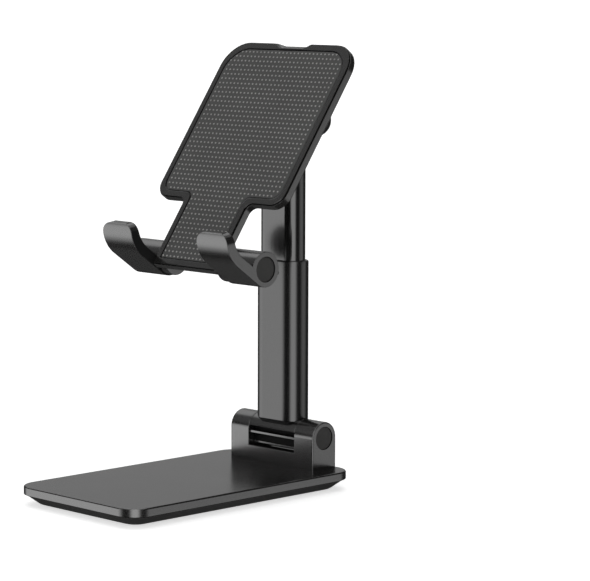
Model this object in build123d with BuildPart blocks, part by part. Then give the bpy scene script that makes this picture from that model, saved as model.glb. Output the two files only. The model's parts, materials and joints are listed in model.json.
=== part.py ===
from build123d import *
import os
from math import cos, sin, radians

os.makedirs("parts", exist_ok=True)

# ---- driving dimensions, millimetres. X is the width, the front faces -Y, Z is up ----
BASE_W = 72.0
BASE_L = 121.2
BASE_R = 9.0
BASE_TOP = 8.0
BAND_H = 3.5
SKIRT_INSET = 5.4
TRAY_BOTTOM = 0.5
PAD_TOP = 1.1

HINGE_Y = 54.0
HINGE_Z = BASE_TOP + 12.5
EAR_R = 6.8
EAR_X = 24.6
BARREL_R = 6.75
BARREL_X = 13.5
SEAM = 0.2
RELIEF_R = 7.1
WALL_TOP = BASE_TOP + 5.8
SHAFT_R = 2.5
SHAFT_GAP = 0.05
CAP_R = 4.85
CAP_T = 1.2
CAP_INSET = 0.45

TUBE_W = 24.7
TUBE_D = 13.0
TUBE_R = 6.48
TUBE_WALL = 0.9
SECTION_EASE = 0.06
TUBE_LOW = 5.6
TUBE_HIGH = 72.7
FOOT_PIN_UP = 2.6
NECK_GAP = 1.4
FOOT_SPIGOT = 5.0
INNER_W = 21.8
INNER_D = 10.5
INNER_R = 5.23
INNER_LOW = 57.0
HEAD_LOW = 7.8
MAST_LEN = 131.2

TILT = 35.1
PLATE_W = 74.9
PLATE_TOP = 100.9
PLATE_LOW = 24.7
TONGUE_W = 37.3
TONGUE_LOW = -7.0
FRONT_N = 7.4
FLANGE_N = 6.95
RIM_N = 6.55
SEAM_N = 5.8
BACK_N = 4.2
PAD_INSET = 3.3
PAD_N = 6.6
HINGE_U = 72.5
HINGE_N = -4.95
TILT_R = 6.9
TILT_X = 27.0

HOOK_R = 7.1
HOOK_X0 = 19.4
HOOK_X1 = 37.2
KNUCKLE_X0 = 15.3
KNUCKLE_X1 = 19.2
KNUCKLE_R = 6.6
PIN_R = 1.8

# ---- frames: the tilted plate stands on its own plane, with the hook axis as origin ----
C = cos(radians(TILT))
S = sin(radians(TILT))
TOP_Z = HINGE_Z + MAST_LEN
HOOK_Y = HINGE_Y - (HINGE_U * S - HINGE_N * C)
HOOK_Z = TOP_Z - (HINGE_U * C + HINGE_N * S)
PLATE = Plane(origin=(0, HOOK_Y, HOOK_Z), x_dir=(1, 0, 0), z_dir=(0, -C, S))


def side_plane(x, y, z):
    """Looks along +X: local x is -Y of the world, local y is Z, and it extrudes towards -X."""
    return Plane(origin=(x, y, z), x_dir=(0, -1, 0), z_dir=(-1, 0, 0))


def hook_plane(x):
    """The same side view, square to the tilted plate: local x is out of its front, local y is up it."""
    return Plane(origin=(x, HOOK_Y, HOOK_Z), x_dir=(0, -C, S), z_dir=(-1, 0, 0))


def save(item, label):
    item.part.label = label
    export_step(item.part, f"parts/{label}.step")


BASE_SCREWS = [(-25, -45), (25, -45), (-25, 40), (25, 40)]
TRAY_TOP = BASE_TOP - BAND_H
CAVITY_TOP = BASE_TOP - 1.8

# ================= base =================
with BuildPart() as base_cover:
    with BuildSketch(Plane.XY.offset(TRAY_TOP)):
        RectangleRounded(BASE_W, BASE_L, BASE_R)
    extrude(amount=BAND_H)
    fillet(base_cover.edges().group_by(Axis.Z)[-1], 0.7)
    with BuildSketch(Plane.XY.offset(TRAY_TOP)):
        RectangleRounded(BASE_W - 5, BASE_L - 5, BASE_R - 2.5)
    extrude(amount=CAVITY_TOP - TRAY_TOP, mode=Mode.SUBTRACT)
    with BuildSketch(Plane.XY.offset(TRAY_TOP)):
        with Locations(*BASE_SCREWS):
            Circle(2.8)
    extrude(amount=CAVITY_TOP - TRAY_TOP)
    # hinge block: two ears and a low wall between them
    with BuildSketch(side_plane(EAR_X, HINGE_Y, HINGE_Z)):
        Circle(EAR_R)
        with Locations((0, (BASE_TOP - HINGE_Z) / 2)):
            Rectangle(2 * EAR_R, HINGE_Z - BASE_TOP)
    extrude(amount=2 * EAR_X)
    ends = base_cover.edges().filter_by(lambda e: abs(abs(e.center().X) - EAR_X) < 0.01)
    fillet(ends.filter_by(lambda e: e.center().Z > BASE_TOP + 0.1), 0.5)
    with BuildSketch(Plane.XY.offset(WALL_TOP)):
        with Locations((0, HINGE_Y)):
            Rectangle(2 * (BARREL_X + SEAM), 2 * EAR_R + 2)
    extrude(amount=HINGE_Z, mode=Mode.SUBTRACT)
    with BuildSketch(side_plane(BARREL_X + SEAM, HINGE_Y, HINGE_Z)):
        Circle(RELIEF_R)
    extrude(amount=2 * (BARREL_X + SEAM), mode=Mode.SUBTRACT)
    with BuildSketch(side_plane(EAR_X, HINGE_Y, HINGE_Z)):
        Circle(SHAFT_R)
    extrude(amount=2 * EAR_X, mode=Mode.SUBTRACT)
    for side in (-1, 1):
        # pocket for the nut, closed by the cap, and one for the disc springs
        outer = EAR_X if side > 0 else -EAR_X + 3.8
        with BuildSketch(side_plane(outer, HINGE_Y, HINGE_Z)):
            Circle(CAP_R)
        extrude(amount=3.8, mode=Mode.SUBTRACT)
        inner = BARREL_X + SEAM + 1.6 if side > 0 else -BARREL_X - SEAM
        with BuildSketch(side_plane(inner, HINGE_Y, HINGE_Z)):
            Circle(4.4)
        extrude(amount=1.6, mode=Mode.SUBTRACT)
    with Locations(*[(x, y, TRAY_TOP) for x, y in BASE_SCREWS]):
        with Locations(Rotation(180, 0, 0)):
            Hole(0.9, depth=1.5)
save(base_cover, "base_cover")

with BuildPart() as base_tray:
    with BuildSketch(Plane.XY.offset(TRAY_BOTTOM)):
        RectangleRounded(BASE_W - 2 * SKIRT_INSET, BASE_L - 2 * SKIRT_INSET, BASE_R - SKIRT_INSET / 2)
    with BuildSketch(Plane.XY.offset(TRAY_TOP)):
        RectangleRounded(BASE_W - 1.2, BASE_L - 1.2, BASE_R - 0.6)
    loft()
    with BuildSketch(Plane.XY.offset(2.4)):
        RectangleRounded(43, 91, 3)
    extrude(amount=TRAY_TOP, mode=Mode.SUBTRACT)
    with BuildSketch(Plane.XY.offset(TRAY_BOTTOM)):
        RectangleRounded(BASE_W - 14, BASE_L - 14, 5)
    extrude(amount=PAD_TOP - TRAY_BOTTOM, mode=Mode.SUBTRACT)
    with Locations(*[(x, y, PAD_TOP) for x, y in BASE_SCREWS]):
        with Locations(Rotation(180, 0, 0)):
            CounterBoreHole(1.3, 2.4, 1.4, depth=BASE_TOP)
save(base_tray, "base_tray")

with BuildPart() as counterweight:
    with BuildSketch(Plane.XY.offset(2.5)):
        RectangleRounded(42, 90, 2.5)
    extrude(amount=3.5)
    chamfer(counterweight.edges().group_by(Axis.Z)[-1], 0.4)
save(counterweight, "counterweight")

with BuildPart() as base_pad:
    with BuildSketch(Plane.XY):
        RectangleRounded(BASE_W - 14.4, BASE_L - 14.4, 4.8)
    extrude(amount=PAD_TOP)
    with BuildSketch(Plane.XY):
        RectangleRounded(BASE_W - 20, BASE_L - 20, 3)
        RectangleRounded(BASE_W - 21.6, BASE_L - 21.6, 2.6, mode=Mode.SUBTRACT)
    extrude(amount=0.4, mode=Mode.SUBTRACT)
save(base_pad, "base_pad")

with BuildPart() as base_screws:
    with BuildSketch(Plane.XY.offset(PAD_TOP + 0.1)):
        with Locations(*BASE_SCREWS):
            Circle(2.1)
    extrude(amount=1.2)
    with BuildSketch(Plane.XY.offset(PAD_TOP + 1.3)):
        with Locations(*BASE_SCREWS):
            Circle(0.9)
    extrude(amount=3.4)
    with BuildSketch(Plane.XY.offset(PAD_TOP + 0.1)):
        with Locations(*BASE_SCREWS):
            RegularPolygon(0.8, 6)
    extrude(amount=0.6, mode=Mode.SUBTRACT)
save(base_screws, "base_screws")


def make_shaft(label, y, z, length, radius):
    with BuildPart() as shaft:
        with BuildSketch(side_plane(length / 2, y, z)):
            Circle(radius)
        extrude(amount=length)
        chamfer(shaft.edges().filter_by(GeomType.CIRCLE), 0.3)
    save(shaft, label)


def make_pairs(label, y, z, near, thick, outer, inner, sides=0):
    """Two mirrored rings, or nuts when sides is given, on the axis through y, z."""
    with BuildPart() as rings:
        for x in (near + thick, -near):
            with BuildSketch(side_plane(x, y, z)):
                if sides:
                    RegularPolygon(outer, sides)
                else:
                    Circle(outer)
                Circle(inner, mode=Mode.SUBTRACT)
            extrude(amount=thick)
    save(rings, label)


make_shaft("base_hinge_shaft", HINGE_Y, HINGE_Z, 45.4, SHAFT_R - 0.02)
make_pairs("base_hinge_springs", HINGE_Y, HINGE_Z, BARREL_X + SEAM + 0.2, 1.3, 4.2, SHAFT_R)
make_pairs("base_hinge_nuts", HINGE_Y, HINGE_Z, EAR_X - 3.7, 1.9, 4.5, SHAFT_R, 6)

for side, name in ((-1, "left"), (1, "right")):
    with BuildPart() as hinge_cap:
        face = side * (EAR_X - CAP_INSET)
        with BuildSketch(side_plane(face if side > 0 else face + CAP_T, HINGE_Y, HINGE_Z)):
            Circle(CAP_R - 0.05)
        extrude(amount=CAP_T)
        fillet(hinge_cap.edges().group_by(Axis.X)[-1 if side > 0 else 0], 0.3)
    save(hinge_cap, f"base_hinge_cap_{name}")

# ================= lower mast: foot and outer tube =================
PIN_XS = (-5.5, 5.5)

with BuildPart() as lower_joint:
    with BuildSketch(side_plane(BARREL_X, HINGE_Y, HINGE_Z)):
        Circle(BARREL_R)
    extrude(amount=2 * BARREL_X)
    with BuildSketch(Plane.XY.offset(HINGE_Z)):
        with Locations((0, HINGE_Y)):
            RectangleRounded(TUBE_W, TUBE_D, TUBE_R)
    extrude(amount=TUBE_LOW - NECK_GAP)
    with BuildSketch(Plane.XY.offset(HINGE_Z + TUBE_LOW - NECK_GAP)):
        with Locations((0, HINGE_Y)):
            RectangleRounded(TUBE_W - 2 * TUBE_WALL - 0.1, TUBE_D - 2 * TUBE_WALL - 0.1, TUBE_R - TUBE_WALL - SECTION_EASE)
    extrude(amount=NECK_GAP)
    with BuildSketch(Plane.XY.offset(HINGE_Z + TUBE_LOW)):
        with Locations((0, HINGE_Y)):
            RectangleRounded(TUBE_W - 2 * TUBE_WALL - 0.1, TUBE_D - 2 * TUBE_WALL - 0.1, TUBE_R - TUBE_WALL - SECTION_EASE)
            RectangleRounded(INNER_W - 3, INNER_D - 3, 2, mode=Mode.SUBTRACT)
    extrude(amount=FOOT_SPIGOT)
    # open front of the barrel, with a rib left standing in it
    with BuildSketch(side_plane(BARREL_X, HINGE_Y, HINGE_Z)):
        with Locations((5.1, -2.5)):
            Rectangle(4.0, 8.6)
    extrude(amount=2 * BARREL_X, mode=Mode.SUBTRACT)
    with BuildSketch(side_plane(BARREL_X, HINGE_Y, HINGE_Z)):
        with Locations((4.2, -0.9)):
            Rectangle(3.6, 0.8)
        with Locations((3.3, -5.35)):
            Rectangle(0.9, 0.6)
    extrude(amount=2 * BARREL_X)
    with BuildSketch(side_plane(BARREL_X, HINGE_Y, HINGE_Z)):
        Circle(SHAFT_R + SHAFT_GAP)
    extrude(amount=2 * BARREL_X, mode=Mode.SUBTRACT)
    with BuildSketch(Plane.XZ.offset(-HINGE_Y - TUBE_D / 2 + 2.2)):
        with Locations(*[(x, HINGE_Z + TUBE_LOW + FOOT_PIN_UP) for x in PIN_XS]):
            Circle(1.25)
    extrude(amount=-6, mode=Mode.SUBTRACT)
save(lower_joint, "lower_joint")

with BuildPart() as foot_pins:
    with BuildSketch(Plane.XZ.offset(-HINGE_Y - TUBE_D / 2 + 2.2)):
        with Locations(*[(x, HINGE_Z + TUBE_LOW + FOOT_PIN_UP) for x in PIN_XS]):
            Circle(1.23)
    extrude(amount=-2.0)
save(foot_pins, "foot_pins")

SLOT_Z = HINGE_Z + TUBE_HIGH - 5
with BuildPart() as outer_tube:
    with BuildSketch(Plane.XY.offset(HINGE_Z + TUBE_LOW)):
        with Locations((0, HINGE_Y)):
            RectangleRounded(TUBE_W, TUBE_D, TUBE_R)
    extrude(amount=TUBE_HIGH - TUBE_LOW)
    chamfer(outer_tube.edges().group_by(Axis.Z)[0], 0.3)
    fillet(outer_tube.edges().group_by(Axis.Z)[-1], 0.35)
    with BuildSketch(Plane.XY.offset(HINGE_Z + TUBE_LOW)):
        with Locations((0, HINGE_Y)):
            RectangleRounded(TUBE_W - 2 * TUBE_WALL, TUBE_D - 2 * TUBE_WALL, TUBE_R - TUBE_WALL)
    extrude(amount=TUBE_HIGH, mode=Mode.SUBTRACT)
    # coped over the barrel
    with BuildSketch(side_plane(TUBE_W / 2 + 1, HINGE_Y, HINGE_Z)):
        Circle(BARREL_R + 0.05)
    extrude(amount=TUBE_W + 2, mode=Mode.SUBTRACT)
    with BuildSketch(Plane.XZ.offset(-HINGE_Y)):
        with Locations((0, SLOT_Z)):
            SlotOverall(8.5, 1.7)
    extrude(amount=TUBE_D, both=True, mode=Mode.SUBTRACT)
    with BuildSketch(Plane.XZ.offset(-HINGE_Y)):
        with Locations(*[(x, HINGE_Z + TUBE_LOW + FOOT_PIN_UP) for x in PIN_XS]):
            Circle(1.25)
    extrude(amount=-TUBE_D, mode=Mode.SUBTRACT)
save(outer_tube, "outer_tube")

with BuildPart() as tube_collar:
    with BuildSketch(Plane.XY.offset(HINGE_Z + TUBE_HIGH - 14.6)):
        with Locations((0, HINGE_Y)):
            RectangleRounded(TUBE_W - 2 * TUBE_WALL - 0.04, TUBE_D - 2 * TUBE_WALL - 0.04, TUBE_R - TUBE_WALL - SECTION_EASE)
            RectangleRounded(INNER_W + 0.12, INNER_D + 0.12, INNER_R, mode=Mode.SUBTRACT)
    extrude(amount=14)
    for side in (-1, 1):
        wall = HINGE_Y + side * (TUBE_D / 2 - TUBE_WALL - 0.3)
        with BuildSketch(Plane.XZ.offset(-wall)):
            with Locations((0, SLOT_Z)):
                SlotOverall(8.3, 1.5)
        extrude(amount=-side * 1.0)
save(tube_collar, "tube_collar")

# ================= upper mast: inner tube and head =================
with BuildPart() as inner_tube:
    with BuildSketch(Plane.XY.offset(HINGE_Z + INNER_LOW)):
        with Locations((0, HINGE_Y)):
            RectangleRounded(INNER_W, INNER_D, INNER_R)
            RectangleRounded(INNER_W - 2, INNER_D - 2, INNER_R - 1, mode=Mode.SUBTRACT)
    extrude(amount=TOP_Z - HEAD_LOW - HINGE_Z - INNER_LOW)
    with BuildSketch(Plane.XZ.offset(-HINGE_Y)):
        with Locations(*[(x, TOP_Z - HEAD_LOW - 4) for x in PIN_XS]):
            Circle(1.25)
    extrude(amount=-TUBE_D, mode=Mode.SUBTRACT)
save(inner_tube, "inner_tube")

with BuildPart() as upper_joint:
    with BuildSketch(side_plane(BARREL_X, HINGE_Y, TOP_Z)):
        Circle(TILT_R)
    extrude(amount=2 * BARREL_X)
    with BuildSketch(Plane.XY.offset(TOP_Z)):
        with Locations((0, HINGE_Y)):
            RectangleRounded(INNER_W, INNER_D, INNER_R)
    extrude(amount=-HEAD_LOW + 0.2)
    with BuildSketch(Plane.XY.offset(TOP_Z - HEAD_LOW + 0.2)):
        with Locations((0, HINGE_Y)):
            RectangleRounded(INNER_W - 2.1, INNER_D - 2.1, INNER_R - 1 - SECTION_EASE)
    extrude(amount=-9.2)
    with BuildSketch(side_plane(BARREL_X, HINGE_Y, TOP_Z)):
        Circle(SHAFT_R + SHAFT_GAP)
    extrude(amount=2 * BARREL_X, mode=Mode.SUBTRACT)
    # slot low on the rear of the barrel
    with BuildSketch(Plane.XZ.offset(-HINGE_Y - 5.4)):
        with Locations((0, TOP_Z - 1.5)):
            SlotOverall(8.5, 1.7)
    extrude(amount=-4, mode=Mode.SUBTRACT)
    with BuildSketch(Plane.XZ.offset(-HINGE_Y - INNER_D / 2 + 2.2)):
        with Locations(*[(x, TOP_Z - HEAD_LOW - 4) for x in PIN_XS]):
            Circle(1.25)
    extrude(amount=-6, mode=Mode.SUBTRACT)
save(upper_joint, "upper_joint")

with BuildPart() as head_pins:
    with BuildSketch(Plane.XZ.offset(-HINGE_Y - INNER_D / 2 + 2.2)):
        with Locations(*[(x, TOP_Z - HEAD_LOW - 4) for x in PIN_XS]):
            Circle(1.23)
    extrude(amount=-2.0)
save(head_pins, "head_pins")

with BuildPart() as slide_shoe:
    with BuildSketch(Plane.XY.offset(HINGE_Z + INNER_LOW - 3)):
        with Locations((0, HINGE_Y)):
            RectangleRounded(TUBE_W - 2 * TUBE_WALL - 0.14, TUBE_D - 2 * TUBE_WALL - 0.14, TUBE_R - TUBE_WALL - 1.5 * SECTION_EASE)
            RectangleRounded(INNER_W - 5, INNER_D - 5, 1.2, mode=Mode.SUBTRACT)
    extrude(amount=3)
    with BuildSketch(Plane.XY.offset(HINGE_Z + INNER_LOW)):
        with Locations((0, HINGE_Y)):
            RectangleRounded(INNER_W - 2.1, INNER_D - 2.1, INNER_R - 1 - SECTION_EASE)
            RectangleRounded(INNER_W - 5, INNER_D - 5, 1.2, mode=Mode.SUBTRACT)
    extrude(amount=5)
save(slide_shoe, "slide_shoe")

# ================= plate =================
SCOOP_W = 22.0
SCOOP_FLOOR = 13.0
SCOOP_DEEP = 3.1
SCOOP_BACK = 0.1
PLATE_SCREWS = [(-30, 36), (30, 36), (-30, 93), (30, 93)]


def plate_outline(inset):
    """The T shape, drawn in the open sketch and shrunk by inset all round."""
    half, tongue = PLATE_W / 2 - inset, TONGUE_W / 2 - inset
    low, top = PLATE_LOW + inset, PLATE_TOP - inset
    with BuildSketch(mode=Mode.PRIVATE) as shape:
        with BuildLine():
            Polyline(
                (-tongue, TONGUE_LOW + inset),
                (tongue, TONGUE_LOW + inset),
                (tongue, low),
                (half, low),
                (half, top),
                (-half, top),
                (-half, low),
                (-tongue, low),
                close=True,
            )
        make_face()
        fillet(shape.vertices().filter_by(lambda v: v.Y > top - 1), 9.5 - inset / 2)
        fillet(shape.vertices().filter_by(lambda v: abs(v.X) > half - 1 and v.Y < low + 1), 6.5 - inset / 2)
        fillet(shape.vertices().filter_by(lambda v: abs(v.X) < tongue + 1 and abs(v.Y - low) < 0.1), 3.5)
    return shape.sketch


# finger scoop in the middle of the top edge; it slopes from the front face to the back
SCOOP_REACH = SCOOP_DEEP - SCOOP_BACK
THICK = FRONT_N - BACK_N
SLOPE = (THICK**2 + SCOOP_REACH**2) ** 0.5
SCOOP_DIR = PLATE.z_dir * (-THICK / SLOPE) + PLATE.y_dir * (SCOOP_REACH / SLOPE)
SCOOP_START = PLATE.origin + PLATE.y_dir * (PLATE_TOP - SCOOP_DEEP) + PLATE.z_dir * FRONT_N
with BuildPart() as scoop:
    with BuildSketch(Plane(origin=SCOOP_START - SCOOP_DIR * 3, x_dir=(1, 0, 0), z_dir=-SCOOP_DIR)):
        with BuildLine():
            Polyline(
                (-SCOOP_FLOOR / 2, 0),
                (SCOOP_FLOOR / 2, 0),
                (SCOOP_W / 2, SCOOP_DEEP),
                (SCOOP_W / 2 + 6, 12),
                (-SCOOP_W / 2 - 6, 12),
                (-SCOOP_W / 2, SCOOP_DEEP),
                close=True,
            )
        make_face()
    extrude(amount=-12)

with BuildPart() as plate_frame:
    with BuildSketch(PLATE.offset(SEAM_N)):
        add(plate_outline(0.9))
    extrude(amount=FLANGE_N - SEAM_N)
    with BuildSketch(PLATE.offset(FLANGE_N)):
        add(plate_outline(0.15))
    extrude(amount=FRONT_N - FLANGE_N)
    fillet(plate_frame.faces().sort_by(Axis(PLATE.origin, PLATE.z_dir))[-1].outer_wire().edges(), 0.3)
    with BuildSketch(PLATE.offset(PAD_N)):
        add(plate_outline(PAD_INSET))
    extrude(amount=1, mode=Mode.SUBTRACT)
    add(scoop.part, mode=Mode.SUBTRACT)
save(plate_frame, "plate_frame")

with BuildPart() as plate_pad:
    with BuildSketch(PLATE.offset(PAD_N)):
        add(plate_outline(PAD_INSET + 0.25))
    extrude(amount=FRONT_N - PAD_N - 0.1)
save(plate_pad, "plate_pad")

with BuildPart() as plate_cover:
    with BuildSketch(PLATE.offset(BACK_N)):
        add(plate_outline(0))
    extrude(amount=RIM_N - BACK_N)
    fillet(plate_cover.faces().sort_by(Axis(PLATE.origin, PLATE.z_dir))[0].outer_wire().edges(), 0.6)
    with BuildSketch(PLATE.offset(SEAM_N)):
        add(plate_outline(0.85))
    extrude(amount=RIM_N, mode=Mode.SUBTRACT)
    add(scoop.part, mode=Mode.SUBTRACT)
    # raised housing round the tilt hinge
    with BuildSketch(PLATE.offset(BACK_N)):
        with Locations((0, HINGE_U)):
            SlotOverall(70.5, 33)
    with BuildSketch(PLATE.offset(HINGE_N + 0.6)):
        with Locations((0, HINGE_U)):
            SlotOverall(60.5, 22.5)
    loft()
    # knuckles for the hooks
    for x in (-KNUCKLE_X0, KNUCKLE_X1):
        with BuildSketch(hook_plane(x)):
            Circle(KNUCKLE_R)
            with Locations(((BACK_N + SEAM_N) / 2 - 0.5, 2.4)):
                Rectangle(SEAM_N - BACK_N + 1, 8.6)
            with Locations((SEAM_N + 2, 0)):
                Rectangle(4, 20, mode=Mode.SUBTRACT)
        extrude(amount=KNUCKLE_X1 - KNUCKLE_X0)
    with BuildSketch(hook_plane(KNUCKLE_X1)):
        Circle(PIN_R)
    extrude(amount=2 * KNUCKLE_X1, mode=Mode.SUBTRACT)
    # pocket for the barrel, and the way in for the mast head
    with BuildSketch(hook_plane(BARREL_X + 0.25)):
        with Locations((HINGE_N, HINGE_U)):
            Circle(TILT_R + 0.3)
    extrude(amount=2 * BARREL_X + 0.5, mode=Mode.SUBTRACT)
    with BuildSketch(PLATE.offset(BACK_N - 0.3)):
        with Locations((0, HINGE_U - 20)):
            Rectangle(24.6, 40)
    extrude(amount=-20, mode=Mode.SUBTRACT)
    with BuildSketch(hook_plane(TILT_X - TILT_R)):
        with Locations((HINGE_N, HINGE_U)):
            Circle(TILT_R + 0.02)
    extrude(amount=2 * (TILT_X - TILT_R), mode=Mode.SUBTRACT)
    with Locations(PLATE.offset(HINGE_N)):
        with Locations((-TILT_X + TILT_R, HINGE_U), (TILT_X - TILT_R, HINGE_U)):
            Sphere(TILT_R + 0.02, mode=Mode.SUBTRACT)
    with BuildSketch(PLATE.offset(BACK_N)):
        with Locations(*PLATE_SCREWS):
            Circle(1.2)
    extrude(amount=SEAM_N, mode=Mode.SUBTRACT)
    with BuildSketch(PLATE.offset(BACK_N)):
        with Locations(*PLATE_SCREWS):
            Circle(2.1)
    extrude(amount=1.0, mode=Mode.SUBTRACT)
save(plate_cover, "plate_cover")

with BuildPart() as plate_screws:
    with BuildSketch(PLATE.offset(BACK_N + 0.1)):
        with Locations(*PLATE_SCREWS):
            Circle(2.0)
    extrude(amount=0.9)
    with BuildSketch(PLATE.offset(BACK_N + 1.0)):
        with Locations(*PLATE_SCREWS):
            Circle(1.1)
    extrude(amount=SEAM_N - BACK_N - 1.1)
    with BuildSketch(PLATE.offset(BACK_N + 0.1)):
        with Locations(*PLATE_SCREWS):
            RegularPolygon(0.9, 6)
    extrude(amount=0.5, mode=Mode.SUBTRACT)
save(plate_screws, "plate_screws")

SPHERE_X = TILT_X - TILT_R
CAP_X = BARREL_X + SEAM
with BuildPart() as tilt_cap_right:
    with BuildSketch(Plane(origin=(0, HINGE_Y, TOP_Z), x_dir=(1, 0, 0), z_dir=(0, -1, 0))):
        with BuildLine():
            Line((CAP_X, 0), (TILT_X, 0))
            CenterArc((SPHERE_X, 0), TILT_R, 0, 90)
            Line((SPHERE_X, TILT_R), (CAP_X, TILT_R))
            Line((CAP_X, TILT_R), (CAP_X, 0))
        make_face()
        with Locations((CAP_X, 0)):
            Rectangle(2 * (21.6 - CAP_X), 2 * SHAFT_R, mode=Mode.SUBTRACT)
            Rectangle(3.2, 2 * 4.4, mode=Mode.SUBTRACT)
    revolve(axis=Axis((0, HINGE_Y, TOP_Z), (1, 0, 0)))
save(tilt_cap_right, "tilt_cap_right")

with BuildPart() as tilt_cap_left:
    mirror(tilt_cap_right.part, about=Plane.YZ)
save(tilt_cap_left, "tilt_cap_left")

make_shaft("tilt_shaft", HINGE_Y, TOP_Z, 43.0, SHAFT_R - 0.02)
make_pairs("tilt_springs", HINGE_Y, TOP_Z, BARREL_X + SEAM + 0.2, 1.3, 4.2, SHAFT_R)

with BuildPart() as hook_pins:
    for x in (-KNUCKLE_X0 - 0.1, HOOK_X1 - 2.5):
        with BuildSketch(hook_plane(x)):
            Circle(PIN_R - 0.02)
        extrude(amount=HOOK_X1 - 2.6 - KNUCKLE_X0)
save(hook_pins, "hook_pins")

# ================= hooks =================
HOOK_CAP_R = 5.15
LIP_R = 3.9
LIP_LEAN = 49.0
LIP_REACH = 10.0
SOLE_END = 15.6
# the plane of the turned-up lip, with the middle of its tip as origin
LIP_UP = PLATE.z_dir * cos(radians(LIP_LEAN)) + PLATE.y_dir * sin(radians(LIP_LEAN))
LIP_TIP = PLATE.origin + PLATE.z_dir * 24.54 + PLATE.y_dir * 1.7 + LIP_UP * 0.16
LIP = Plane(origin=LIP_TIP, x_dir=(1, 0, 0), z_dir=Vector(1, 0, 0).cross(LIP_UP))


def hook_profile():
    """Barrel, arm and turned-up lip, square to the hook axis: x out of the plate, y up it."""
    with BuildSketch(mode=Mode.PRIVATE) as shape:
        with BuildLine():
            Line((4.0, -2.6), (13.0, -2.6))
            rise = JernArc(start=(13.0, -2.6), tangent=(1, 0), radius=11.5, arc_size=48)
            tip_in = Line(rise @ 1, (rise @ 1) + (rise % 1) * 2.5)
            sole = Line((0, -HOOK_R), (SOLE_END, -HOOK_R))
            sweep_up = JernArc(start=(SOLE_END, -HOOK_R), tangent=(1, 0), radius=8.6, arc_size=50)
            tip_out = Line(sweep_up @ 1, (sweep_up @ 1) + (sweep_up % 1) * 5.7)
            Line(tip_in @ 1, tip_out @ 1)
            Line((4.0, -2.6), (0, 0))
            Line((0, 0), (0, -HOOK_R))
        make_face()
        tips = shape.vertices().sort_by(Axis.X)[-2:]
        fillet(tips, 1.5)
        Circle(HOOK_R)
    return shape.sketch


for side, name in ((-1, "left"), (1, "right")):
    far = HOOK_X1 if side > 0 else -HOOK_X0
    outer_x = side * HOOK_X1
    with BuildPart() as hook:
        with BuildSketch(hook_plane(far)):
            add(hook_profile())
        extrude(amount=HOOK_X1 - HOOK_X0)
        # the lip's top corners, rounded in its own plane
        middle = (HOOK_X0 + HOOK_X1) / 2 * side
        with BuildSketch(LIP):
            with Locations((middle, LIP_REACH - LIP_R)):
                Rectangle(2 * HOOK_X0, 2 * LIP_REACH)
            with Locations((middle, -LIP_REACH)):
                RectangleRounded(HOOK_X1 - HOOK_X0, 2 * LIP_REACH, LIP_R, mode=Mode.SUBTRACT)
        extrude(amount=LIP_REACH - 4, both=True, mode=Mode.SUBTRACT)
        with BuildSketch(hook_plane(far)):
            Circle(PIN_R + SHAFT_GAP)
        extrude(amount=HOOK_X1 - HOOK_X0, mode=Mode.SUBTRACT)
        with BuildSketch(hook_plane(outer_x if side > 0 else outer_x + 2.4)):
            Circle(HOOK_CAP_R)
        extrude(amount=2.4, mode=Mode.SUBTRACT)
        # rubber pad lies in a shallow pocket along the floor of the arm
        with BuildSketch(hook_plane(far - 2.2)):
            with Locations((10.2, -2.85)):
                Rectangle(5.6, 0.5)
        extrude(amount=HOOK_X1 - HOOK_X0 - 4.4, mode=Mode.SUBTRACT)
    save(hook, f"{name}_hook")
    with BuildPart() as hook_cap:
        with BuildSketch(hook_plane(outer_x - 0.5 if side > 0 else outer_x + 0.5 + 1.5)):
            Circle(HOOK_CAP_R - 0.05)
        extrude(amount=1.5)
    save(hook_cap, f"{name}_hook_cap")
    with BuildPart() as hook_pad:
        with BuildSketch(hook_plane(far - 2.3)):
            with Locations((10.2, -2.8)):
                Rectangle(5.4, 0.55)
        extrude(amount=HOOK_X1 - HOOK_X0 - 4.6)
    save(hook_pad, f"{name}_hook_pad")
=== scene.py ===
import json
from math import acos, atan2, cos, degrees, pi, radians, sin, sqrt, tan

import bmesh
import bpy
from mathutils import Matrix, Vector


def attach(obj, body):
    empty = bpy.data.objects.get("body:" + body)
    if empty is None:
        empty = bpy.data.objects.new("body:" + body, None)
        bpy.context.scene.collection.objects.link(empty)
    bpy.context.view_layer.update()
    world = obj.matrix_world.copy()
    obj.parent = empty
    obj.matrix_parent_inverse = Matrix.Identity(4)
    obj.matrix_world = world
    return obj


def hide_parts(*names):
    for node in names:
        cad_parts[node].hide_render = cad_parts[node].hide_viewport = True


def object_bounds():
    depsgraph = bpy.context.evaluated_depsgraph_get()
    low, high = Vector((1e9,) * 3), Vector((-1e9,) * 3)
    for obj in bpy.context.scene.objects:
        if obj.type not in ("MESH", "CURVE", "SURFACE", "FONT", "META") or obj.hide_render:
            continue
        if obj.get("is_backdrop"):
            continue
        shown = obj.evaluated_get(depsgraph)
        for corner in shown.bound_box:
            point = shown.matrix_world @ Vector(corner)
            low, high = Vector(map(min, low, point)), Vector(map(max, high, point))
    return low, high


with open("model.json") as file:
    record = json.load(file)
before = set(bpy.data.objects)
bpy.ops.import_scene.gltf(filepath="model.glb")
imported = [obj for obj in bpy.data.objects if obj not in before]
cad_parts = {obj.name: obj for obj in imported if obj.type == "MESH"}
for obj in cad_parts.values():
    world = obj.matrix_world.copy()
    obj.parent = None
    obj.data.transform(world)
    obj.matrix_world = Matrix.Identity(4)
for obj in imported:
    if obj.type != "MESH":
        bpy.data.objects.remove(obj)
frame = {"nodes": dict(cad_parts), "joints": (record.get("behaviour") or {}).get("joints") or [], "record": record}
cad_low, cad_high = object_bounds()
nodes = frame["nodes"]
joint_at = {j["name"]: [c * 1000 for c in j["pos_m"]] for j in frame["joints"] if "pos_m" in j}  # millimetres

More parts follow.
